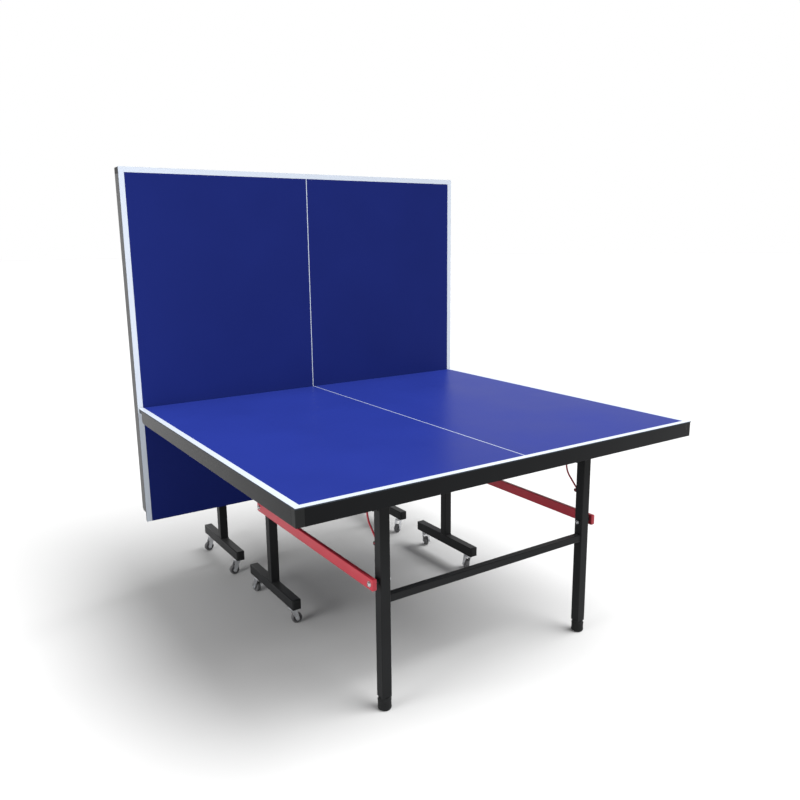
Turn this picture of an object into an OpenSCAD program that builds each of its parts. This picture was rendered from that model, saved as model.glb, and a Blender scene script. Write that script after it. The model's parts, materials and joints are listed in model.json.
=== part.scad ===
// Playback table tennis table: two rolling halves, the near one open, the far one folded upright.
// Row frame: +Y runs from the near half's end line to the folded half, +Z up, floor at z = 0.
// A half is drawn open, with its net edge at y = 0 and its end line at y = half_length.
// Sizes in mm.

/* [Playing surface] */
// Width of a half, 1500 to 1550
table_width = 1525;
// Net edge to end line, 1350 to 1390
half_length = 1370;
// Height of the playing surface, 755 to 765
surface_height = 760;
// Thickness of the board, 12 to 25
board_thickness = 18;
// Width of the side lines and end line, 18 to 22
line_width = 20;
// Width of the centre line, 2 to 4
centre_line = 3;
// Depth of a line's coat, 0.3 to 1
line_depth = 0.5;

/* [Edge rails and stiffeners] */
// Depth of the edge rail, surface to lower edge, 40 to 70
rail_depth = 52;
// Wall of the edge rail, 1.5 to 3
rail_wall = 2;
// Reach of the rail's flanges, 15 to 30
rail_flange = 24;
// Net edge to the start of the side rails, 20 to 60
rail_setback = 38;
// Leg of a corner guard, 20 to 40
guard_leg = 25;
// Section of a stiffener across the board, 20 to 35
stiffener = 25;

/* [Tubes] */
// Side of the square tubes, 25 to 40
tube = 34;
// Wall of the tubes, 1.5 to 3
wall = 2;
// Corner radius of the tubes, 1.5 to 4
corner = 3;
// Centre of the table to a leg or post, 350 to 500
leg_x = 414;
// Height of the post and leg tops, 690 to 702
tube_top = 700;

/* [Folding linkage] */
// Net edge to the folding pivot, 350 to 420
pivot_v = 390;
// Folding pivot to the leg pivot, 700 to 850
link_length = 788;
// Surface to the pivots, 72 to 90
pivot_drop = 78;
// Pivot to the axis of its post or leg, 25 to 32
tube_offset = 27;
// Height of the link bars, 380 to 460
link_height = 417;
// Depth of a link bar, 30 to 45
link_depth = 36;
// Width of a link bar, 12 to 22
link_width = 15;
// Radius of the pivot bolts, 3 to 5
bolt_r = 4;
// Radial running clearance, 0.02 to 0.1
fit = 0.05;

/* [Trolley] */
// Length of a floor bar, 350 to 450
bar_length = 384;
// Height of a floor bar, 30 to 50
bar_height = 40;
// Underside of the floor bars, 65 to 80
bar_base = 70;
// Post to a caster's swivel axis, 140 to 170
caster_reach = 155;
// Height of the tube between the posts, 500 to 580
cross_height = 570;
// Height of the tube between the legs, 300 to 420
crossbar_height = 359;
// Side of the tube between the legs, 20 to 34
crossbar_size = 25;

/* [Casters and feet] */
// Radius of a wheel, 18 to 25
wheel_r = 20;
// Width of a wheel, 16 to 22
wheel_width = 18;
// Swivel axis to axle, 14 to 26
trail = 16;
// Radius of a foot, 16 to 23
foot_r = 21.5;

/* [Safety catches] */
// Radius of the catch rod, 2.5 to 4
rod_r = 3;
// Height of the catch rod's pivot, 510 to 560
catch_height = 526;

/* [Placing] */
// Near end line to the row origin, 842.5 for a centred row
end_to_origin = 842.5;
// Near net edge to the folded surface, 8 to 20
fold_gap = 10;

/* [Hidden] */
// One node, or "all"

half_width = table_width / 2;
board_base = surface_height - board_thickness;
rail_base = surface_height - rail_depth;
rail_top = surface_height - 4;
pivot_z = surface_height - pivot_drop;
leg_v = pivot_v + link_length;
post_y = pivot_v + tube_offset;
foot_y = leg_v + tube_offset;
half_tube = tube / 2;
bar_top = bar_base + bar_height;
foot_top = 42;
side_gap = 1.5;
plate = 4;
lug_x = half_tube;
cheek_x = half_tube - side_gap - plate;
link_x = half_tube + 14;
$fn = 48;

blue = [0.13, 0.16, 0.55];
white = [0.92, 0.93, 0.95];
charcoal = [0.13, 0.14, 0.15];
black = [0.06, 0.06, 0.07];
red = [0.66, 0.09, 0.13];
zinc = [0.66, 0.68, 0.70];
grey = [0.22, 0.22, 0.23];

// Frames

// Near half: the drawing turned so that its end line points to -Y
module near_place() {
    translate([0, half_length - end_to_origin, 0]) rotate([0, 0, 180]) children();
}

// Far trolley: standing close behind the near net edge
module far_place() {
    translate([0, half_length - end_to_origin + fold_gap + pivot_drop - pivot_v, 0]) children();
}

// Far top: folded a quarter turn about the folding pivot
module far_fold() {
    far_place() translate([0, pivot_v, pivot_z]) rotate([90, 0, 0])
        translate([0, -pivot_v, -pivot_z]) children();
}

// Far legs and catches: upright, carried by the leg pivot
module far_lift() {
    far_place() translate([0, -link_length, link_length]) children();
}

// Far link bars: upright about their post bolts
module far_link_place() {
    far_place() translate([0, post_y, link_height]) rotate([90, 0, 0])
        translate([0, -post_y, -link_height]) children();
}

// Outline drawn in Y and Z, made thick along X and centred on x
module across(x, thick) {
    translate([x - thick / 2, 0, 0]) rotate([90, 0, 90]) linear_extrude(thick) children();
}

// Round bar along X from x0 to x1 at y, z
module rod_x(x0, x1, y, z, r) {
    translate([x0, y, z]) rotate([0, 90, 0]) cylinder(h = x1 - x0, r = r);
}

// Box by its corners
module box(a, b) {
    translate(a) cube(b - a);
}

// Rectangle with rounded corners
module outline(w, h) {
    square([w - 2 * corner, h], center = true);
    square([w, h - 2 * corner], center = true);
    for (a = [-1, 1], b = [-1, 1])
        translate([a * (w / 2 - corner), b * (h / 2 - corner)]) circle(corner);
}

// Section of a tube with rounded corners
module section(w, h) {
    difference() {
        outline(w, h);
        square([w - 2 * wall, h - 2 * wall], center = true);
    }
}

// Square tube standing from z0 to z1
module upright(y, z0, z1) {
    translate([leg_x, y, z0]) linear_extrude(z1 - z0) section(tube, tube);
}

// Square tube along X between the inner faces of the uprights
module crosswise(y, z, side) {
    reach = leg_x - half_tube;
    translate([-reach, y, z]) rotate([90, 0, 90]) linear_extrude(2 * reach)
        section(side, side);
}

// Top: board, lines and rails

module line_cut(h0, h1) {
    for (s = [-1, 1])
        box([s * half_width - (s > 0 ? line_width : 0), 0, h0],
            [s * half_width + (s > 0 ? 0 : line_width), half_length, h1]);
    box([-half_width, half_length - line_width, h0], [half_width, half_length, h1]);
    box([-centre_line / 2, 0, h0], [centre_line / 2, half_length, h1]);
}

module board() {
    color(blue) difference() {
        union() {
            box([-half_width, 0, rail_top], [half_width, half_length, surface_height]);
            box([-half_width + rail_wall, 0, board_base],
                [half_width - rail_wall, half_length - rail_wall, rail_top]);
        }
        line_cut(surface_height - line_depth, surface_height + 1);
    }
}

module lines() {
    color(white) line_cut(surface_height - line_depth, surface_height);
}

// Channel of the edge rail: x is 0 at its outer face and grows inwards, y is height
module rail_profile() {
    translate([0, rail_base]) square([rail_wall, rail_top - rail_base]);
    translate([0, rail_base]) square([rail_flange, rail_wall]);
    translate([0, board_base - rail_wall]) square([rail_flange, rail_wall]);
    translate([rail_flange - rail_wall, rail_base]) square([rail_wall, 8]);
}

module aprons() {
    color(charcoal) {
        for (s = [0, 1]) mirror([s, 0, 0]) difference() {
            translate([-half_width, half_length - guard_leg, 0]) rotate([90, 0, 0])
                linear_extrude(half_length - guard_leg - rail_setback) rail_profile();
            // Lower corner cut back at the net end
            across(-half_width + rail_flange / 2, rail_flange + 2)
                polygon([[rail_setback - 1, rail_base - 1], [rail_setback + 11, rail_base - 1],
                    [rail_setback - 1, rail_base + 11]]);
        }
        translate([-half_width + guard_leg, half_length, 0]) rotate([90, 0, 90])
            linear_extrude(table_width - 2 * guard_leg) mirror([1, 0]) rail_profile();
    }
}

// Corner guards: angle pieces that close the outer corners of the rails
module corner_guards() {
    color(black) for (s = [0, 1]) mirror([s, 0, 0])
        translate([-half_width, half_length, rail_base]) linear_extrude(rail_top - rail_base)
            difference() {
                union() {
                    translate([0, -guard_leg]) square([guard_leg, guard_leg - 5]);
                    translate([5, -guard_leg]) square([guard_leg - 5, guard_leg]);
                    translate([5, -5]) circle(5);
                }
                translate([rail_wall, -guard_leg - 1]) square(guard_leg - rail_wall + 1);
            }
}

// Stiffeners across the underside: net rail, two at the folding pivot, middle and end
module top_frame() {
    high = board_base - rail_base - 4;
    reach = half_width - rail_flange - 1;
    color(black) for (v = [rail_setback + stiffener / 2, 305, 478, 740, 1000, 1250])
        translate([-reach, v, board_base - high / 2]) rotate([90, 0, 90])
            linear_extrude(2 * reach) difference() {
                square([stiffener, high], center = true);
                square([stiffener - 2 * wall, high - 2 * wall], center = true);
            }
}

// Pivot bracket: two cheeks under the board with feet turned outwards
module bracket_at(v) {
    translate([0, v, 0]) difference() {
        for (s = [-1, 1]) {
            across(leg_x + s * (cheek_x + plate / 2), plate) {
                polygon([[-48, board_base], [-48, board_base - 8], [-8.5, pivot_z],
                    [9, pivot_z], [9, pivot_z + 24], [44, board_base - 8],
                    [44, board_base]]);
                translate([0, pivot_z]) circle(9);
            }
            box([leg_x + (s > 0 ? cheek_x : -cheek_x - 20), -48, board_base - plate],
                [leg_x + (s > 0 ? cheek_x + 20 : -cheek_x), 44, board_base]);
        }
        rod_x(leg_x - 60, leg_x + 60, 0, pivot_z, bolt_r);
    }
}

// Tapered plates each side of the catch rod's tip
module catch_guards() {
    for (s = [-1, 1]) across(leg_x + s * (lug_x + plate + 4), 3)
        translate([leg_v, 0]) polygon([[-74, board_base], [-74, 655], [-69, 610], [-58, 610],
            [-43, 700], [-43, board_base]]);
}

module brackets() {
    color(black) for (s = [0, 1]) mirror([s, 0, 0]) {
        bracket_at(pivot_v);
        bracket_at(leg_v);
        catch_guards();
    }
}

// Pivot bolts: head outside, nut inside
module pivot_bolts() {
    color(zinc) for (s = [0, 1]) mirror([s, 0, 0]) for (v = [pivot_v, leg_v]) {
        rod_x(leg_x - lug_x - 10, leg_x + lug_x + 7, v, pivot_z, bolt_r);
        rod_x(leg_x + lug_x + plate + 0.3, leg_x + lug_x + plate + 4.3, v, pivot_z, 8);
        translate([leg_x - lug_x - plate - 6.3, v, pivot_z]) rotate([0, 90, 0])
            cylinder(h = 6, r = 7.5, $fn = 6);
    }
}

// Side plates that carry a pivot on a post or a leg whose pivot is at y = v
module lugs(v) {
    for (s = [-1, 1]) difference() {
        across(leg_x + s * (lug_x + plate / 2), plate) translate([v, 0]) {
            polygon([[0, pivot_z + 12], [tube_offset + 10, pivot_z + 12],
                [tube_offset + 10, pivot_z - 44], [10, pivot_z - 54], [-12, pivot_z - 20],
                [-12, pivot_z]]);
            translate([0, pivot_z]) circle(12);
        }
        rod_x(leg_x - 60, leg_x + 60, v, pivot_z, bolt_r + fit);
    }
}

// Trolley

// T-frame: post with its lugs on a floor bar
module t_frame() {
    color(black) difference() {
        union() {
            upright(post_y, bar_top, tube_top);
            translate([leg_x, post_y, tube_top - 2]) linear_extrude(2)
                square(tube - 2 * wall, center = true);
            lugs(pivot_v);
            translate([leg_x, post_y + bar_length / 2, bar_base + bar_height / 2])
                rotate([90, 0, 0]) linear_extrude(bar_length) section(tube, bar_height);
        }
        rod_x(leg_x - 60, leg_x + 60, post_y, link_height, bolt_r + fit);
        for (s = [-1, 1]) translate([leg_x, post_y + s * caster_reach, bar_base - 1])
            cylinder(h = wall + 2, r = 6 + fit);
    }
}

module cross_tube() {
    color(black) crosswise(post_y, cross_height, tube);
}

// Half outline of a cap: width w, corners rounded, on side s of the joint
module cap_side(s, w) {
    intersection() {
        translate([s > 0 ? 0 : -8, -w / 2]) square([8, w]);
        union() {
            for (h = [-1, 1]) translate([0, h * (w / 2 - 8)]) circle(8);
            translate([-8, -w / 2 + 8]) square([16, w - 16]);
        }
    }
}

// End caps of the floor bars: plug and rounded end
module bar_caps() {
    color(charcoal) for (m = [0, 1]) mirror([m, 0, 0]) for (s = [-1, 1])
        translate([leg_x, post_y + s * bar_length / 2, bar_base + bar_height / 2]) {
            box([-half_tube + wall, s > 0 ? -14 : 0, -bar_height / 2 + wall],
                [half_tube - wall, s > 0 ? 0 : 14, bar_height / 2 - wall]);
            intersection() {
                across(0, tube) cap_side(s, bar_height);
                translate([0, 0, -bar_height / 2]) linear_extrude(bar_height)
                    rotate(90) cap_side(s, tube);
                rotate([90, 0, 0]) translate([0, 0, -10]) linear_extrude(20)
                    outline(tube, bar_height);
            }
        }
}

// Legs

module leg() {
    color(black) difference() {
        union() {
            upright(foot_y, foot_top, tube_top);
            translate([leg_x, foot_y, foot_top]) linear_extrude(5)
                square(tube - 2 * wall, center = true);
            translate([leg_x, foot_y, tube_top - 2]) linear_extrude(2)
                square(tube - 2 * wall, center = true);
            lugs(leg_v);
            // Ears of the catch rod
            for (s = [-1, 1]) across(leg_x + s * 10.5, 3) {
                translate([foot_y - half_tube - 8, catch_height - 6]) square([8, 12]);
                translate([foot_y - half_tube - 8, catch_height]) circle(6);
            }
        }
        rod_x(leg_x - 60, leg_x + 60, foot_y, link_height, bolt_r + fit);
        rod_x(leg_x - 14, leg_x + 14, foot_y - half_tube - 8, catch_height, 2.5 + fit);
        translate([leg_x, foot_y, foot_top - 1]) cylinder(h = 8, r = 5 + fit);
    }
}

module leg_crossbar() {
    color(black) crosswise(foot_y, crossbar_height, crossbar_size);
}

// Levelling foot: stem, and a barrel with a rounded sole and a neck under the leg
module foot() {
    sole = 5;
    neck = foot_r - 2.5;
    color(black) translate([leg_x, foot_y, 0]) rotate_extrude() {
        square([5, foot_top + 12]);
        square([foot_r - sole, 2 * sole]);
        translate([foot_r - sole, sole]) circle(sole);
        polygon([[0, sole], [foot_r, sole], [foot_r, 32], [neck, 34.5], [neck, foot_top - 0.4],
            [0, foot_top - 0.4]]);
    }
}

// Link bars

module link() {
    a = post_y;
    b = post_y + link_length;
    color(red) difference() {
        across(leg_x + link_x + link_width / 2, link_width) {
            translate([(a + b) / 2, link_height]) outline(b - a + link_depth, link_depth);
        }
        box([leg_x + link_x + wall, a + 24, link_height - link_depth / 2 + wall],
            [leg_x + link_x + link_width - wall, b - 24, link_height + link_depth / 2 - wall]);
        for (v = [a, b]) rod_x(leg_x, leg_x + 60, v, link_height, bolt_r);
    }
}

// Link bolts with spacers, washers and nuts
module link_bolts() {
    far_side = leg_x + link_x + link_width;
    color(zinc) for (s = [0, 1]) mirror([s, 0, 0]) for (v = [post_y, post_y + link_length]) {
        rod_x(leg_x - half_tube - 9, far_side + 2, v, link_height, bolt_r);
        rod_x(leg_x + half_tube + 0.3, leg_x + link_x, v, link_height, 8);
        rod_x(far_side, far_side + 1.5, v, link_height, 9);
        rod_x(far_side + 1.5, far_side + 5.5, v, link_height, 6.5);
        translate([leg_x - half_tube - 7, v, link_height]) rotate([0, 90, 0])
            cylinder(h = 6.5, r = 7.5, $fn = 6);
    }
}

// Catch rod: eye on its pin, slanting rod, bend and upright tip
module lock() {
    y0 = foot_y - half_tube - 8;
    bend = 60;
    slant = (y0 - (leg_v - 54) - bend * (1 - cos(45))) / sin(45);
    y1 = y0 - slant * sin(45);
    z1 = catch_height + slant * cos(45);
    z2 = z1 + bend * sin(45);
    y2 = leg_v - 54;
    color(red) {
        rod_x(leg_x - 12, leg_x + 12, y0, catch_height, 2.5);
        rod_x(leg_x - 8, leg_x + 8, y0, catch_height, 5.5);
        translate([leg_x, y0, catch_height]) rotate([45, 0, 0]) cylinder(h = slant, r = rod_r);
        translate([leg_x, y2 + bend, z2]) rotate([90, 0, 90]) rotate([0, 0, 180])
            rotate_extrude(angle = 45) translate([bend, 0]) circle(rod_r);
        translate([leg_x, y2, z2]) cylinder(h = 52, r = rod_r);
        translate([leg_x, y2, z2 + 52]) sphere(rod_r + 0.6);
    }
}

// Casters, drawn with the swivel axis at the origin and the wheel trailing along +X

module caster_fork() {
    color(zinc) {
        translate([0, 0, 60]) cylinder(h = 22, r = 6);
        translate([0, 0, 62]) cylinder(h = bar_base - 62.3, r = 15);
        translate([0, 0, 57]) linear_extrude(5) {
            circle(13);
            translate([0, -13]) square([14, 26]);
        }
        for (s = [-1, 1]) translate([0, s * 11.75 + 1.25, 0]) rotate([90, 0, 0])
            linear_extrude(2.5) {
                polygon([[-9, 58], [14, 58], [trail + 6.5, wheel_r + 2],
                    [trail - 5.5, wheel_r - 4]]);
                translate([trail, wheel_r]) circle(7);
            }
        translate([trail, 15.5, wheel_r]) rotate([90, 0, 0]) cylinder(h = 31, r = 4);
        for (s = [-1, 1]) translate([trail, s * 14.5 + 1.5, wheel_r]) rotate([90, 0, 0])
            cylinder(h = 3, r = 6.5, $fn = 6);
    }
}

module caster_wheel() {
    w = wheel_width / 2;
    color(grey) translate([trail, 0, wheel_r]) rotate([90, 0, 0]) rotate_extrude() {
        difference() {
            union() {
                translate([0, -w]) square([wheel_r - 4, 2 * w]);
                translate([0, 4 - w]) square([wheel_r, 2 * w - 8]);
                for (h = [-1, 1]) translate([wheel_r - 4, h * (w - 4)]) circle(4);
            }
            for (h = [-1, 1]) translate([9, h * w - 2.5]) square([6, 5]);
            translate([-1, -w - 1]) square([1 + 4 + fit, 2 * w + 2]);
        }
    }
}

module at_caster(x, y, turn) {
    translate([x, y, 0]) rotate([0, 0, turn]) children();
}

near_y = half_length - end_to_origin - post_y;
far_y = half_length - end_to_origin + fold_gap + pivot_drop + tube_offset;

module other_side() {
    mirror([1, 0, 0]) children();
}

near_place() board();  // near_board
near_place() lines();  // near_lines
near_place() aprons();  // near_aprons
near_place() top_frame();  // near_top_frame
near_place() corner_guards();  // near_corner_guards
near_place() brackets();  // near_brackets
near_place() pivot_bolts();  // near_pivot_bolts
near_place() t_frame();  // near_t_frame_left
near_place() other_side() t_frame();  // near_t_frame_right
near_place() cross_tube();  // near_cross_tube
near_place() bar_caps();  // near_bar_caps
near_place() leg();  // near_leg_left
near_place() other_side() leg();  // near_leg_right
near_place() leg_crossbar();  // near_leg_crossbar
near_place() foot();  // near_foot_left
near_place() other_side() foot();  // near_foot_right
near_place() link();  // near_link_left
near_place() other_side() link();  // near_link_right
near_place() link_bolts();  // near_link_bolts
near_place() lock();  // near_lock_left
near_place() other_side() lock();  // near_lock_right

far_fold() board();  // far_board
far_fold() lines();  // far_lines
far_fold() aprons();  // far_aprons
far_fold() top_frame();  // far_top_frame
far_fold() corner_guards();  // far_corner_guards
far_fold() brackets();  // far_brackets
far_fold() pivot_bolts();  // far_pivot_bolts
far_place() other_side() t_frame();  // far_t_frame_left
far_place() t_frame();  // far_t_frame_right
far_place() cross_tube();  // far_cross_tube
far_place() bar_caps();  // far_bar_caps
far_lift() other_side() leg();  // far_leg_left
far_lift() leg();  // far_leg_right
far_lift() leg_crossbar();  // far_leg_crossbar
far_lift() other_side() foot();  // far_foot_left
far_lift() foot();  // far_foot_right
far_link_place() other_side() link();  // far_link_left
far_link_place() link();  // far_link_right
far_link_place() link_bolts();  // far_link_bolts
far_lift() other_side() lock();  // far_lock_left
far_lift() lock();  // far_lock_right

at_caster(-leg_x, near_y - caster_reach, -5) caster_fork();  // near_left_outer_fork
at_caster(-leg_x, near_y - caster_reach, -5) caster_wheel();  // near_left_outer_wheel
at_caster(-leg_x, near_y + caster_reach, 100) caster_fork();  // near_left_inner_fork
at_caster(-leg_x, near_y + caster_reach, 100) caster_wheel();  // near_left_inner_wheel
at_caster(leg_x, near_y - caster_reach, 75) caster_fork();  // near_right_outer_fork
at_caster(leg_x, near_y - caster_reach, 75) caster_wheel();  // near_right_outer_wheel
at_caster(leg_x, near_y + caster_reach, 40) caster_fork();  // near_right_inner_fork
at_caster(leg_x, near_y + caster_reach, 40) caster_wheel();  // near_right_inner_wheel
at_caster(-leg_x, far_y + caster_reach, 185) caster_fork();  // far_left_outer_fork
at_caster(-leg_x, far_y + caster_reach, 185) caster_wheel();  // far_left_outer_wheel
at_caster(-leg_x, far_y - caster_reach, 180) caster_fork();  // far_left_inner_fork
at_caster(-leg_x, far_y - caster_reach, 180) caster_wheel();  // far_left_inner_wheel
at_caster(leg_x, far_y + caster_reach, 58) caster_fork();  // far_right_outer_fork
at_caster(leg_x, far_y + caster_reach, 58) caster_wheel();  // far_right_outer_wheel
at_caster(leg_x, far_y - caster_reach, 207) caster_fork();  // far_right_inner_fork
at_caster(leg_x, far_y - caster_reach, 207) caster_wheel();  // far_right_inner_wheel
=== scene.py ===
import bpy
import bmesh
import json
import math
from mathutils import Matrix, Vector


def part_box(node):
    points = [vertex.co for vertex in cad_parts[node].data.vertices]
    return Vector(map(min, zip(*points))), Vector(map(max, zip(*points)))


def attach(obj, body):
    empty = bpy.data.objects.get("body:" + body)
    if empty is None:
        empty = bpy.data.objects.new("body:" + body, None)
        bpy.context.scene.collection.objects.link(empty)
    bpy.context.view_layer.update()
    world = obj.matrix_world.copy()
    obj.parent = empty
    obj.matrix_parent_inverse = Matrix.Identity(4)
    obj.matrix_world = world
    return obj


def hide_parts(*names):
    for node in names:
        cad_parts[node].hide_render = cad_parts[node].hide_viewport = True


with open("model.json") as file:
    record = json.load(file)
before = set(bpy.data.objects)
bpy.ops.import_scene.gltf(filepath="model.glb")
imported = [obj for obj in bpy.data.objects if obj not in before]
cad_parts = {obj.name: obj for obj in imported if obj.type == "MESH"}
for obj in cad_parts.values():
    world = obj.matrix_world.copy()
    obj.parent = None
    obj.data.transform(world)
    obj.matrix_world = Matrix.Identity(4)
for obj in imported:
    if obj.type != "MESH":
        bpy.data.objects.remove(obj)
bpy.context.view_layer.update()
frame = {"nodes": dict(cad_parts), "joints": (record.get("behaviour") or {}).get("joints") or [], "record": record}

NODES = frame["nodes"]
HALVES = ("near", "far")
SIDES = ("left", "right")
OUTWARD = {"left": -1, "right": 1}
JOINT = {j["name"]: j for j in frame["joints"]}
SLOT_OF = {s["node"]: s["material_slot"] for s in frame["record"]["subparts"]}


def joint_at(name):
    return Vector(JOINT[name]["pos_m"])


# The near board lies open with its net edge at the high y; the far board stands on its net edge.
NEAR_LOW, NEAR_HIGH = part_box("near_board")
NET_Y, TOP_Z, HALF_WIDTH = NEAR_HIGH.y, NEAR_HIGH.z, NEAR_HIGH.x
BOARD = TOP_Z - NEAR_LOW.z
HALF_LENGTH = NET_Y - NEAR_LOW.y
FAR_FACE, FAR_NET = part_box("far_board")[0].y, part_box("far_board")[0].z

# Distances across a leg or post are measured from its centre.
LEG_X = JOINT["near_foot_right_turn"]["pos_m"][0]
HALF_TUBE = 0.017
LINK_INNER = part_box("near_link_right")[0].x - LEG_X
LINK_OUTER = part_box("near_link_right")[1].x - LEG_X

# ---------------------------------------------------------------- camera

CAMERA_AT = (-1.509, -2.4255, 1.392)
CAMERA_YAW, CAMERA_PITCH, CAMERA_ROLL = 33.616, 11.970, -0.580
CAMERA_LENS, SENSOR = 34.164, 36.0


def place_camera():
    data = bpy.data.cameras.new("camera")
    data.lens, data.sensor_width = CAMERA_LENS, SENSOR
    camera = bpy.data.objects.new("camera", data)
    bpy.context.scene.collection.objects.link(camera)
    yaw, pitch = math.radians(CAMERA_YAW), math.radians(CAMERA_PITCH)
    level = math.cos(pitch)
    ahead = Vector((math.sin(yaw) * level, math.cos(yaw) * level, -math.sin(pitch)))
    turn = ahead.to_track_quat("-Z", "Y").to_matrix().to_4x4()
    roll = Matrix.Rotation(math.radians(CAMERA_ROLL), 4, "Z")
    camera.matrix_world = Matrix.Translation(CAMERA_AT) @ turn @ roll
    bpy.context.scene.camera = camera


place_camera()

# ---------------------------------------------------------------- materials


def new_material(name):
    mat = bpy.data.materials.new(name)
    mat.use_nodes = True
    nodes, links = mat.node_tree.nodes, mat.node_tree.links
    return mat, nodes, links, nodes["Principled BSDF"]


def noise(nodes, links, coord, scale, detail=2.0, rough=0.5):
    n = nodes.new("ShaderNodeTexNoise")
    n.inputs["Scale"].default_value = scale
    n.inputs["Detail"].default_value = detail
    n.inputs["Roughness"].default_value = rough
    links.new(coord.outputs["Object"], n.inputs["Vector"])
    return n.outputs["Fac"]


def ramp(nodes, links, fac, stops):
    r = nodes.new("ShaderNodeValToRGB")
    while len(r.color_ramp.elements) < len(stops):
        r.color_ramp.elements.new(0.5)
    for e, (pos, col) in zip(r.color_ramp.elements, stops):
        e.position = pos
        e.color = (*col, 1.0)
    links.new(fac, r.inputs["Fac"])
    return r.outputs["Color"]


def spread(nodes, links, fac, low, high):
    """Maps the middle of a noise to the range low to high."""
    m = nodes.new("ShaderNodeMapRange")
    m.inputs["From Min"].default_value = 0.3
    m.inputs["From Max"].default_value = 0.7
    m.inputs["To Min"].default_value = low
    m.inputs["To Max"].default_value = high
    links.new(fac, m.inputs["Value"])
    return m.outputs["Result"]


def bump(nodes, links, bsdf, height, distance, strength=1.0):
    b = nodes.new("ShaderNodeBump")
    b.inputs["Distance"].default_value = distance
    b.inputs["Strength"].default_value = strength
    links.new(height, b.inputs["Height"])
    links.new(b.outputs["Normal"], bsdf.inputs["Normal"])


def tone(color, k):
    return tuple(min(1.0, c * k) for c in color)


DRIFT_SCALE = 5.0
GLOSS_SPREAD = 0.05
DUST_ROUGHNESS = 0.27


def coated(name, color, rough, grain, depth, vary=0.10, shine=0.25, dust=0.0):
    """Paint, plastic or rubber: slow tone drift, fine grain in gloss and relief, dusty sheen."""
    mat, nodes, links, bsdf = new_material(name)
    coord = nodes.new("ShaderNodeTexCoord")
    drift = noise(nodes, links, coord, DRIFT_SCALE, 3.0)
    tones = [(0.3, tone(color, 1 - vary)), (0.7, tone(color, 1 + vary))]
    links.new(ramp(nodes, links, drift, tones), bsdf.inputs["Base Color"])
    fine = noise(nodes, links, coord, grain, 2.0)
    gloss = spread(nodes, links, fine, rough - GLOSS_SPREAD, rough + GLOSS_SPREAD)
    links.new(gloss, bsdf.inputs["Roughness"])
    bump(nodes, links, bsdf, fine, depth)
    bsdf.inputs["Specular IOR Level"].default_value = shine
    bsdf.inputs["Sheen Weight"].default_value = dust
    bsdf.inputs["Sheen Roughness"].default_value = DUST_ROUGHNESS
    return mat


CRYSTALS = 260.0
DRAW_MARK_DEPTH = 0.00004


def plated(name, color, rough, streak):
    """Zinc plate: faint crystalline patches and fine draw marks."""
    mat, nodes, links, bsdf = new_material(name)
    coord = nodes.new("ShaderNodeTexCoord")
    cells = nodes.new("ShaderNodeTexVoronoi")
    cells.inputs["Scale"].default_value = CRYSTALS
    links.new(coord.outputs["Object"], cells.inputs["Vector"])
    tones = [(0.0, tone(color, 0.86)), (0.7, color)]
    links.new(ramp(nodes, links, cells.outputs["Distance"], tones), bsdf.inputs["Base Color"])
    marks = noise(nodes, links, coord, streak, 4.0, 0.7)
    gloss = spread(nodes, links, marks, rough - 0.07, rough + 0.09)
    links.new(gloss, bsdf.inputs["Roughness"])
    bump(nodes, links, bsdf, marks, DRAW_MARK_DEPTH)
    bsdf.inputs["Metallic"].default_value = 1.0
    return mat


PLAY_BLUE = (0.0070, 0.0126, 0.0930)
# Painted shade: the far board's blue is darkened to 0.72 of the near board's. This stands in for the weaker light
# on the upright half; both are copies of one paint.
BOARD_PAINTED_SHADE = {"near": 1.0, "far": 0.72}
LINE_PAINT = (0.42, 0.46, 0.52)
# Painted shade: the line paint is dimmed per half for how light falls on it. The near lines are dimmed most, since
# the open top takes the most light.
LINE_PAINTED_SHADE = {"near": 0.58, "far": 0.70}
SEALING_COAT = (0.020, 0.024, 0.030)
PLAY_GLOSS = (0.31, 0.37)
PLAY_SHINE = 0.018
PLAY_GRAIN, PLAY_GRAIN_DEPTH = 900.0, 0.00003
PAINT_DEPTH = 0.0003


def playfield(name, paint, axis, level, outward):
    """Board paint: blue on the playing face, dark sealing coat on the edges and underside."""
    mat, nodes, links, bsdf = new_material(name)
    coord = nodes.new("ShaderNodeTexCoord")
    split = nodes.new("ShaderNodeSeparateXYZ")
    links.new(coord.outputs["Object"], split.inputs["Vector"])
    over = nodes.new("ShaderNodeMath")
    over.operation = "GREATER_THAN" if outward > 0 else "LESS_THAN"
    over.inputs[1].default_value = level - outward * PAINT_DEPTH
    links.new(split.outputs[axis], over.inputs[0])
    drift = noise(nodes, links, coord, 3.0, 3.0)
    speck = noise(nodes, links, coord, 420.0, 3.0, 0.6)
    blue = ramp(nodes, links, drift, [(0.3, tone(paint, 0.95)), (0.7, tone(paint, 1.05))])
    dark = ramp(nodes, links, speck, [(0.35, tone(SEALING_COAT, 0.75)),
                                      (0.65, tone(SEALING_COAT, 1.3))])
    mix = nodes.new("ShaderNodeMix")
    mix.data_type = "RGBA"
    links.new(over.outputs[0], mix.inputs["Factor"])
    links.new(dark, mix.inputs["A"])
    links.new(blue, mix.inputs["B"])
    links.new(mix.outputs["Result"], bsdf.inputs["Base Color"])
    links.new(spread(nodes, links, drift, *PLAY_GLOSS), bsdf.inputs["Roughness"])
    grain = noise(nodes, links, coord, PLAY_GRAIN, 2.0)
    bump(nodes, links, bsdf, grain, PLAY_GRAIN_DEPTH)
    bsdf.inputs["Specular IOR Level"].default_value = PLAY_SHINE
    return mat


# Each half's lines get their own copy of the line paint, dimmed by that half's painted shade.
def line_paint(half):
    return coated(half + "_line_paint", tone(LINE_PAINT, LINE_PAINTED_SHADE[half]), rough=0.32,
                  grain=900.0, depth=0.00003, vary=0.02)


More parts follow.
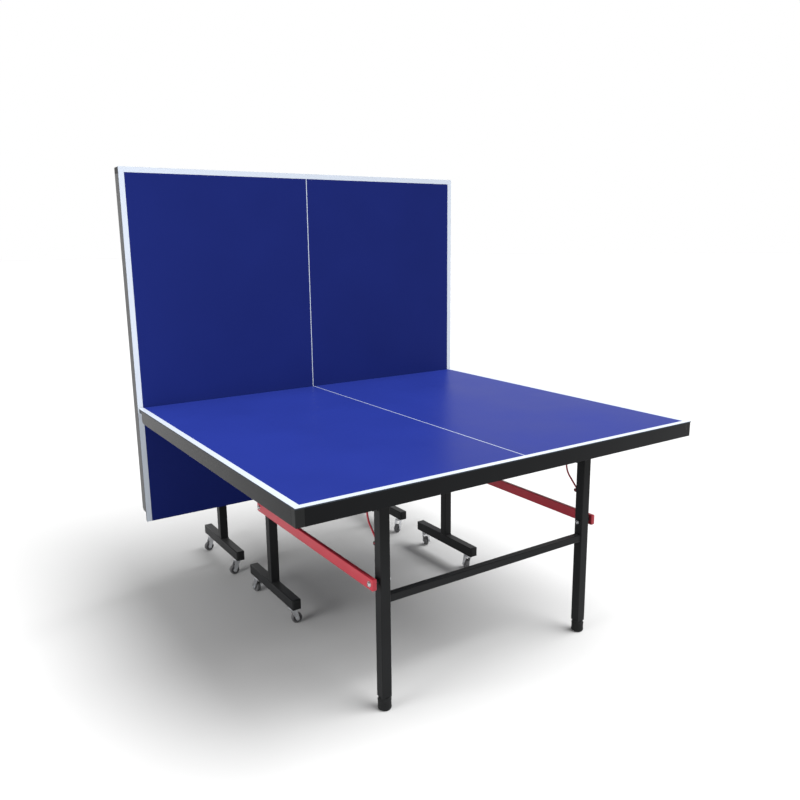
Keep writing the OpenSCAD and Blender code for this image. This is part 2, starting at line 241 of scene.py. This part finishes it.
MATERIALS = {
    "edge_rail": coated("charcoal_powder", (0.0042, 0.0044, 0.0048), rough=0.44, grain=1300.0,
                        depth=0.00006, vary=0.08, shine=0.02, dust=0.9),
    "black_frame": coated("black_powder", (0.0060, 0.0063, 0.0067), rough=0.42, grain=1300.0,
                          depth=0.00006, vary=0.12, shine=0.10, dust=0.15),
    "red_bar": coated("red_powder", (0.200, 0.0164, 0.0246), rough=0.36, grain=1300.0,
                      depth=0.00005, vary=0.07),
    "zinc": plated("zinc_plate", (0.62, 0.63, 0.65), rough=0.30, streak=700.0),
    "black_plastic": coated("black_plastic", (0.0055, 0.0058, 0.0060), rough=0.50, grain=2200.0,
                            depth=0.00005, vary=0.10, shine=0.15),
    "wheel": coated("wheel_rubber", (0.050, 0.050, 0.052), rough=0.55, grain=1500.0,
                    depth=0.00008, vary=0.14),
}
# Each half's board gets its own copy of the blue, dimmed by that half's painted shade.
BOARDS = {
    "near": playfield("near_playfield", tone(PLAY_BLUE, BOARD_PAINTED_SHADE["near"]), "Z", TOP_Z, 1),
    "far": playfield("far_playfield", tone(PLAY_BLUE, BOARD_PAINTED_SHADE["far"]), "Y", FAR_FACE, -1),
}
LINES = {half: line_paint(half) for half in HALVES}


def material_of(name):
    slot, half = SLOT_OF[name], name.split("_")[0]
    if slot == "playfield":
        return BOARDS[half]
    return LINES[half] if slot == "lines" else MATERIALS[slot]


def dress(obj, mat):
    obj.data.materials.clear()
    obj.data.materials.append(mat)


EDGE_RADIUS = {"black_frame": 0.0006, "edge_rail": 0.0006, "black_plastic": 0.001, "zinc": 0.0004}
UNROUNDED = ("lock", "brackets")


def ease_edges(obj, width):
    weld = obj.modifiers.new("weld", "WELD")
    weld.merge_threshold = 1e-6
    bevel = obj.modifiers.new("bevel", "BEVEL")
    bevel.width, bevel.segments = width, 2
    bevel.limit_method, bevel.angle_limit = "ANGLE", math.radians(40)
    bevel.use_clamp_overlap = True
    bevel.harden_normals = True


for name, obj in NODES.items():
    dress(obj, material_of(name))
    if SLOT_OF[name] in EDGE_RADIUS and not any(word in name for word in UNROUNDED):
        ease_edges(obj, EDGE_RADIUS[SLOT_OF[name]])

# ---------------------------------------------------------------- mesh tools


def hex_radius(flat, angle):
    """Distance to the side of a hexagon of inner radius flat, in that direction."""
    a = (angle + math.pi / 6) % (math.pi / 3) - math.pi / 6
    return flat / math.cos(a)


def revolve(bm, rings, at, segments=40):
    """Skin of rings about local Z. A ring is (radius, height) or (function of angle, height)."""
    skins = []
    for radius, height in rings:
        if radius == 0:
            skins.append([bm.verts.new(at @ Vector((0, 0, height)))])
            continue
        loop = []
        for i in range(segments):
            a = 2 * math.pi * i / segments
            r = radius(a) if callable(radius) else radius
            loop.append(bm.verts.new(at @ Vector((r * math.cos(a), r * math.sin(a), height))))
        skins.append(loop)
    for a, b in zip(skins, skins[1:]):
        n = max(len(a), len(b))
        for i in range(n):
            j = (i + 1) % n
            quad = [a[i % len(a)], a[j % len(a)], b[j % len(b)], b[i % len(b)]]
            quad = list(dict.fromkeys(quad))
            if len(quad) > 2:
                bm.faces.new(quad)


def axis_frame(point, direction):
    """Local Z along direction, origin at point."""
    turn = Vector(direction).to_track_quat("Z", "Y").to_matrix().to_4x4()
    return Matrix.Translation(point) @ turn


def piece(name, bm, slot, body, replaced=(), sharp=35.0):
    """Object of that skin in a material slot, riding a body and standing in for replaced nodes."""
    bmesh.ops.recalc_face_normals(bm, faces=bm.faces)
    mesh = bpy.data.meshes.new(name)
    bm.to_mesh(mesh)
    bm.free()
    mesh.shade_smooth()
    mesh.set_sharp_from_angle(angle=math.radians(sharp))
    obj = bpy.data.objects.new(name, mesh)
    bpy.context.scene.collection.objects.link(obj)
    dress(obj, MATERIALS[slot])
    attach(obj, body)
    if replaced:
        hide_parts(*replaced)
    return obj


# ---------------------------------------------------------------- bolts, nuts and screws


def button_head(bm, at, radius, height, socket):
    """Domed head with a hexagon socket, seat at local Z 0."""
    dome = [(radius, 0), (radius, height * 0.35), (radius * 0.93, height * 0.66),
            (radius * 0.78, height * 0.9), (radius * 0.62, height)]

    def key(a):
        return hex_radius(socket, a)
    cup = [(key, height), (key, height * 0.35), (0, height * 0.3)]
    revolve(bm, [(0, 0)] + dome + cup, at, 48)


def hex_nut(bm, at, flat, height):
    """Nut with chamfered corners, seat at local Z 0."""
    def full(a):
        return hex_radius(flat, a)

    def cut(a):
        return min(hex_radius(flat, a), flat * 1.04)
    revolve(bm, [(0, 0), (cut, 0), (full, height * 0.12), (full, height * 0.85), (cut, height),
                 (flat * 0.66, height), (flat * 0.6, height * 0.93), (0, height * 0.93)], at, 48)


def washer(bm, at, radius, height):
    revolve(bm, [(0, 0), (radius, 0), (radius, height * 0.7), (radius * 0.97, height), (0, height)],
            at, 40)


def shank(bm, at, radius, length):
    revolve(bm, [(0, 0), (radius * 0.85, 0), (radius, radius * 0.15), (radius, length), (0, length)],
            at, 28)


SCREW_RADIUS, SCREW_HEIGHT, SCREW_SEAT = 0.0045, 0.0024, -0.0005


def pan_screw(bm, at):
    """Pan head with a cross recess, sunk a little below its seat."""
    def cross(share):
        def r(a):
            arm = abs(math.sin(2 * a))
            return SCREW_RADIUS * (0.22 + 0.36 * (1 - arm) ** 4) * share
        return r
    r, h = SCREW_RADIUS, SCREW_HEIGHT
    revolve(bm, [(0, SCREW_SEAT), (r, SCREW_SEAT), (r, h * 0.4), (r * 0.9, h * 0.78), (r * 0.66, h),
                 (cross(1.0), h), (cross(0.6), h * 0.35), (0, h * 0.3)], at, 48)


BOLT_RADIUS = 0.00398
HEAD_HEIGHT = 0.0039
NUT_FLAT = 0.0065
WASHER_HEIGHT = 0.0015
CHEEK_FACE = 0.0213
NUT_SEAT = 0.0175
SLEEVE_START = 0.0173


def across_leg(base, out, distance, direction=1):
    """Frame on a bolt's line, that far outward from the centre of the leg, pointing outward or back."""
    return axis_frame(base + out * LEG_X + out * distance, out * direction)


def each_side(bases):
    return [(base, Vector((OUTWARD[side], 0, 0))) for base in bases for side in SIDES]


def pivot_bolts(half):
    bolts = bmesh.new()
    for base, out in each_side((joint_at(half + "_fold"), joint_at(half + "_leg_fold"))):
        shank(bolts, across_leg(base, out, -0.0270), BOLT_RADIUS, 0.0485)
        button_head(bolts, across_leg(base, out, CHEEK_FACE), 0.0078, HEAD_HEIGHT, 0.0025)
        hex_nut(bolts, across_leg(base, out, -CHEEK_FACE, -1), NUT_FLAT, 0.0058)
    piece(half + "_pivot_bolt_set", bolts, "zinc", half + "_top", [half + "_pivot_bolts"])


def link_reach(half):
    """From a half's folding pivot to its leg pivot, which is also the span of its link bars."""
    return joint_at(half + "_leg_fold") - joint_at(half + "_fold")


def link_bolts(half):
    post = joint_at(half + "_link_turn")
    bolts, sleeves = bmesh.new(), bmesh.new()
    for base, out in each_side((post, post + link_reach(half))):
        shank(bolts, across_leg(base, out, -0.0260), BOLT_RADIUS, 0.0720)
        washer(sleeves, across_leg(base, out, SLEEVE_START), 0.0080, LINK_INNER - SLEEVE_START)
        washer(bolts, across_leg(base, out, LINK_OUTER), 0.0089, WASHER_HEIGHT)
        head = across_leg(base, out, LINK_OUTER + WASHER_HEIGHT)
        button_head(bolts, head, 0.0065, HEAD_HEIGHT, 0.0022)
        hex_nut(bolts, across_leg(base, out, -NUT_SEAT, -1), NUT_FLAT, 0.0065)
    piece(half + "_link_bolt_set", bolts, "zinc", half + "_links", [half + "_link_bolts"])
    piece(half + "_link_sleeves", sleeves, "black_plastic", half + "_links")


for half in HALVES:
    pivot_bolts(half)
    link_bolts(half)

# ---------------------------------------------------------------- link bars

BAR_CORNER, CORNER_STEPS = 0.0042, 6
# How far the outline is drawn in, at each depth below a bar's flat sides.
BAR_EDGE = ((0.0026, 0), (0.0012, 0.0003), (0.0004, 0.0011), (0, 0.0025))


def bar_outline(start, reach, half_depth, inset, x):
    """Outline of a bar with rounded corners in the plane at x, drawn in by inset all round."""
    along = reach.normalized()
    side = Vector((1, 0, 0)).cross(along)
    middle = start + reach / 2
    u0, v0 = reach.length / 2 + half_depth - BAR_CORNER, half_depth - BAR_CORNER
    radius = BAR_CORNER - inset
    points = []
    for u, v, first in ((1, 1, 0), (-1, 1, 90), (-1, -1, 180), (1, -1, 270)):
        for i in range(CORNER_STEPS + 1):
            a = math.radians(first + 90 * i / CORNER_STEPS)
            points.append(middle + along * (u * u0 + radius * math.cos(a))
                          + side * (v * v0 + radius * math.sin(a)))
    return [Vector((x, p.y, p.z)) for p in points]


def link_bar(half, side):
    node = f"{half}_link_{side}"
    low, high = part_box(node)
    half_depth = (high.z - low.z if half == "near" else high.y - low.y) / 2
    rings = [(inset, low.x + deep) for inset, deep in BAR_EDGE]
    rings += [(inset, high.x - deep) for inset, deep in reversed(BAR_EDGE)]
    bm = bmesh.new()
    skins = []
    for inset, x in rings:
        outline = bar_outline(joint_at(half + "_link_turn"), link_reach(half), half_depth, inset, x)
        skins.append([bm.verts.new(p) for p in outline])
    for a, b in zip(skins, skins[1:]):
        for i in range(len(a)):
            j = (i + 1) % len(a)
            bm.faces.new((a[i], a[j], b[j], b[i]))
    bm.faces.new(skins[0])
    bm.faces.new(skins[-1])
    piece(node + "_bar", bm, "red_bar", half + "_links", [node])


for half in HALVES:
    for side in SIDES:
        link_bar(half, side)

# ---------------------------------------------------------------- screws under the boards

# Depths below the playing surface at which screws sit.
ON_FLANGE, ON_BRACKET, ON_STIFFENER = BOARD + 0.002, BOARD + 0.004, BOARD + 0.030
FLANGE_MIDDLE = 0.012
SIDE_FLANGE_SCREWS = (0.18, 0.48, 0.80, 1.12, 1.30)
END_FLANGE_SCREWS = (-0.6, -0.36, -0.12, 0.12, 0.36, 0.6)
STIFFENERS = (0.0505, 0.305, 0.478, 0.740, 1.000, 1.250)
STIFFENER_SCREWS = (-0.70, -0.25, 0.25, 0.70)
BRACKET_FEET = (-0.0225, 0.0225)
BRACKET_SCREWS = (-0.034, 0.030)


def under(half, x, v, depth):
    """Frame at a point under the board: v from the net edge, depth from the playing surface."""
    if half == "near":
        return axis_frame((x, NET_Y - v, TOP_Z - depth), (0, 0, -1))
    return axis_frame((x, FAR_FACE + depth, FAR_NET + v), (0, 1, 0))


def from_net(half, point):
    """Distance of a world point from the net edge, at rest."""
    return NET_Y - point.y if half == "near" else point.z - FAR_NET


def board_screws(half):
    places = []
    for pivot in (half + "_fold", half + "_leg_fold"):
        v = from_net(half, joint_at(pivot))
        places += [(OUTWARD[side] * LEG_X + foot, v + along, ON_BRACKET)
                   for side in SIDES for foot in BRACKET_FEET for along in BRACKET_SCREWS]
    places += [(OUTWARD[side] * (HALF_WIDTH - FLANGE_MIDDLE), v, ON_FLANGE)
               for v in SIDE_FLANGE_SCREWS for side in SIDES]
    places += [(x, HALF_LENGTH - FLANGE_MIDDLE, ON_FLANGE) for x in END_FLANGE_SCREWS]
    places += [(x, v, ON_STIFFENER) for v in STIFFENERS for x in STIFFENER_SCREWS]
    screws = bmesh.new()
    for x, v, depth in places:
        pan_screw(screws, under(half, x, v, depth))
    piece(half + "_board_screws", screws, "zinc", half + "_top")


for half in HALVES:
    board_screws(half)

# ---------------------------------------------------------------- weld beads

BEAD_RADIUS, BEAD_STEP, RIPPLE, RIPPLE_STEPS = 0.0016, 0.0011, 0.16, 3
BEAD_SIDES = 8
TUBE_CORNER = 0.003
BAR_HEIGHT = 0.040


def bead(bm, centre, normal, half_side):
    """Rippled weld round a square tube, in the plane through centre."""
    at = axis_frame(centre, normal)
    flat = half_side - TUBE_CORNER
    path = []
    for cx, cy, start in ((flat, flat, 0), (-flat, flat, 90), (-flat, -flat, 180), (flat, -flat, 270)):
        for i in range(5):
            a = math.radians(start + 22.5 * i)
            path.append(Vector((cx + TUBE_CORNER * math.cos(a), cy + TUBE_CORNER * math.sin(a), 0)))
    dense = []
    for a, b in zip(path, path[1:] + path[:1]):
        steps = max(1, round((b - a).length / BEAD_STEP))
        dense += [a.lerp(b, i / steps) for i in range(steps)]
    rings = []
    for i, p in enumerate(dense):
        along = (dense[(i + 1) % len(dense)] - dense[i - 1]).normalized()
        side = along.cross(Vector((0, 0, 1)))
        k = BEAD_RADIUS * (1 + RIPPLE * math.cos(i * 2 * math.pi / RIPPLE_STEPS))
        turns = [2 * math.pi * j / BEAD_SIDES for j in range(BEAD_SIDES)]
        rings.append([bm.verts.new(at @ (p + side * (k * math.cos(t)) + Vector((0, 0, k * math.sin(t)))))
                      for t in turns])
    for a, b in zip(rings, rings[1:] + rings[:1]):
        for j in range(BEAD_SIDES):
            n = (j + 1) % BEAD_SIDES
            bm.faces.new((a[j], a[n], b[n], b[j]))


def trolley_welds(half):
    """Beads at the posts' feet and at both ends of the cross tube."""
    beads = bmesh.new()
    post_y = joint_at(half + "_link_turn").y
    for side in SIDES:
        s = OUTWARD[side]
        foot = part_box(f"{half}_t_frame_{side}")[0].z + BAR_HEIGHT
        bead(beads, (s * LEG_X, post_y, foot), (0, 0, 1), HALF_TUBE)
        low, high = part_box(half + "_cross_tube")
        end = high.x if s > 0 else low.x
        bead(beads, (end, post_y, (low.z + high.z) / 2), (s, 0, 0), HALF_TUBE)
    piece(half + "_trolley_welds", beads, "black_frame", half + "_trolley")


def leg_welds(half):
    """Beads at both ends of the crossbar."""
    beads = bmesh.new()
    low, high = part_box(half + "_leg_crossbar")
    for end, s in ((low.x, -1), (high.x, 1)):
        middle = (end, (low.y + high.y) / 2, (low.z + high.z) / 2)
        bead(beads, middle, (s, 0, 0), (high.z - low.z) / 2)
    piece(half + "_leg_welds", beads, "black_frame", half + "_legs")


for half in HALVES:
    trolley_welds(half)
    leg_welds(half)

# ---------------------------------------------------------------- feet

GRIP_INSET, FLUTE_DEPTH, FLUTES = 0.0007, 0.0008, 24
NECK_INSET = 0.0025
STEM_RADIUS = 0.0050


def fluted(radius, depth, count):
    def r(a):
        return radius - depth * (0.5 + 0.5 * math.cos(count * a)) ** 3
    return r


def foot(half, side):
    """Barrel with a rounded sole, a fluted grip, a neck under the leg and a stem."""
    node = f"{half}_foot_{side}"
    low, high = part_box(node)
    r = (high.x - low.x) / 2
    rim, neck = r - GRIP_INSET, r - NECK_INSET
    grip = fluted(rim, FLUTE_DEPTH, FLUTES)
    sole = [(0, 0), (r - 0.0058, 0), (r - 0.0032, 0.0007), (r - 0.0012, 0.0024),
            (r - 0.0002, 0.0048), (r, 0.0066), (r, 0.0084)]
    barrel = [(rim, 0.0090), (grip, 0.0098), (grip, 0.0290), (rim, 0.0298)]
    shoulder = [(r, 0.0304), (r, 0.0318), (r - 0.0008, 0.0332), (r - 0.0020, 0.0342),
                (neck, 0.0354), (neck, 0.0414)]
    stem = [(STEM_RADIUS, 0.0416), (STEM_RADIUS, 0.0535), (STEM_RADIUS - 0.0005, 0.0540), (0, 0.0540)]
    bm = bmesh.new()
    at = Matrix.Translation(((low.x + high.x) / 2, (low.y + high.y) / 2, low.z))
    revolve(bm, sole + barrel + shoulder + stem, at, 144)
    piece(node + "_moulded", bm, "black_plastic", node + "_body", [node], 50.0)


for half in HALVES:
    for side in SIDES:
        foot(half, side)

# ---------------------------------------------------------------- casters

# One side of a wheel, axle hole to tread: radius and distance from the middle plane.
WHEEL_SIDE = [(0.00405, 0.0090), (0.0072, 0.0090), (0.0079, 0.0084), (0.0083, 0.0066),
              (0.0089, 0.0062), (0.0128, 0.0062), (0.0135, 0.0068), (0.0141, 0.0086),
              (0.0149, 0.0090), (0.0162, 0.0089), (0.0178, 0.0082), (0.0192, 0.0068),
              (0.0198, 0.0050), (0.0200, 0.0030), (0.0200, 0.0006), (0.0197, 0.0002)]
# Ring round the swivel's plate, and the rivet's head under it: radius and height above the floor.
RACE_RING = [(0.0128, 0.0618), (0.0158, 0.0618), (0.0166, 0.0626), (0.0168, 0.0640),
             (0.0164, 0.0652), (0.0156, 0.0660), (0.0140, 0.0664), (0.0128, 0.0664),
             (0.0128, 0.0618)]
RIVET = [(0, 0.0540), (0.0040, 0.0540), (0.0056, 0.0548), (0.0062, 0.0560), (0.0064, 0.0572),
         (0, 0.0572)]


def tread(base):
    bm = bmesh.new()
    mirrored = [(r, -h) for r, h in reversed(WHEEL_SIDE)]
    at = axis_frame(joint_at(base + "_spin"), JOINT[base + "_spin"]["axis"])
    revolve(bm, WHEEL_SIDE + mirrored + [WHEEL_SIDE[0]], at, 72)
    piece(base + "_tread", bm, "wheel", base + "_roller", [base + "_wheel"])


def race(base):
    bm = bmesh.new()
    stem = joint_at(base + "_turn")
    at = Matrix.Translation((stem.x, stem.y, 0))
    revolve(bm, RACE_RING, at, 56)
    revolve(bm, RIVET, at, 40)
    piece(base + "_race", bm, "zinc", base + "_swivel")


for half in HALVES:
    for side in SIDES:
        for place in ("outer", "inner"):
            tread(f"{half}_{side}_{place}")
            race(f"{half}_{side}_{place}")

# ---------------------------------------------------------------- stage

FLOOR_RADIUS, FLOOR_SINK = 60.0, 0.0005
FLOOR_TONE, FLOOR_DRIFT = 0.280, 0.005


def lay_floor():
    mesh = bpy.data.meshes.new("floor")
    bm = bmesh.new()
    bmesh.ops.create_circle(bm, cap_ends=True, radius=FLOOR_RADIUS, segments=96)
    bm.to_mesh(mesh)
    bm.free()
    floor = bpy.data.objects.new("floor", mesh)
    bpy.context.scene.collection.objects.link(floor)
    mat, nodes, links, bsdf = new_material("floor_paint")
    coord = nodes.new("ShaderNodeTexCoord")
    patch = noise(nodes, links, coord, 0.7, 3.0)
    greys = [(0.3, (FLOOR_TONE - FLOOR_DRIFT,) * 3), (0.7, (FLOOR_TONE + FLOOR_DRIFT,) * 3)]
    links.new(ramp(nodes, links, patch, greys), bsdf.inputs["Base Color"])
    bsdf.inputs["Roughness"].default_value = 0.9
    bsdf.inputs["Specular IOR Level"].default_value = 0.1
    dress(floor, mat)
    floor.location.z = -FLOOR_SINK


def light_world():
    world = bpy.data.worlds.new("studio")
    bpy.context.scene.world = world
    world.use_nodes = True
    background = world.node_tree.nodes["Background"]
    background.inputs["Color"].default_value = (1.0, 1.0, 1.0, 1.0)
    background.inputs["Strength"].default_value = 1.0
    bpy.context.scene.view_settings.view_transform = "Standard"


def place_light(data, at, aim):
    """Light at a point, turned to its aim, unseen by the camera and in reflections."""
    obj = bpy.data.objects.new(data.name, data)
    bpy.context.scene.collection.objects.link(obj)
    obj.location = at
    obj.rotation_mode = "QUATERNION"
    obj.rotation_quaternion = (Vector(aim) - Vector(at)).to_track_quat("-Z", "Y")
    obj.visible_camera = False
    obj.visible_glossy = False


SUN_STRENGTH, SUN_WIDTH = 11.3, math.radians(54)
SUN_AT, SUN_AIM = (2.10, -1.44, 4.0), (0, 0, 0)
SIDE_POWER, SIDE_SIZE = 150.0, 1.6
SIDE_AT, SIDE_AIM = (-3.4, -0.6, 1.0), (-0.76, -0.2, 0.75)

lay_floor()
light_world()
sun = bpy.data.lights.new("overhead", "SUN")
sun.energy, sun.angle = SUN_STRENGTH, SUN_WIDTH
place_light(sun, SUN_AT, SUN_AIM)
side_light = bpy.data.lights.new("side", "AREA")
side_light.shape, side_light.size, side_light.energy = "SQUARE", SIDE_SIZE, SIDE_POWER
place_light(side_light, SIDE_AT, SIDE_AIM)
